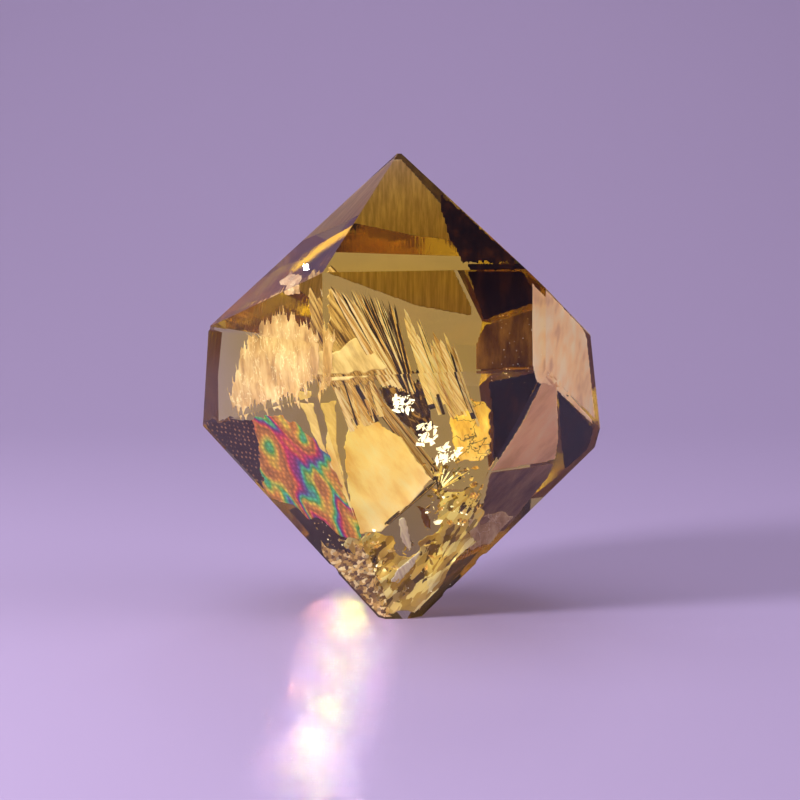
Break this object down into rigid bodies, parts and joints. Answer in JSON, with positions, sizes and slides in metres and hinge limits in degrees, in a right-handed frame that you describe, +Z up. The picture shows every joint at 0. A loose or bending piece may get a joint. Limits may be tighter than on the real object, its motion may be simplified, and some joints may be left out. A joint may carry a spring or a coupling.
{
  "type": "polished citrine crystal",
  "caption": "Golden-brown quartz crystal with a point at each end, its faces polished flat and clear, standing on the ground-off lower tip.",
  "frame": {"origin": "middle of the small flat ground across the lower tip, which the stone stands on", "axes": "+Z up through the stone to the upper tip; -Y is the side that the widest side face looks to; +X is to the right of that face"},
  "size_m": [0.0495, 0.0351, 0.0578],
  "materials": {
    "citrine": "clear golden-brown quartz, every face ground flat and polished"
  },
  "bodies": {
    "root": {"citrine_crystal": "citrine"}
  },
  "joints": []
}
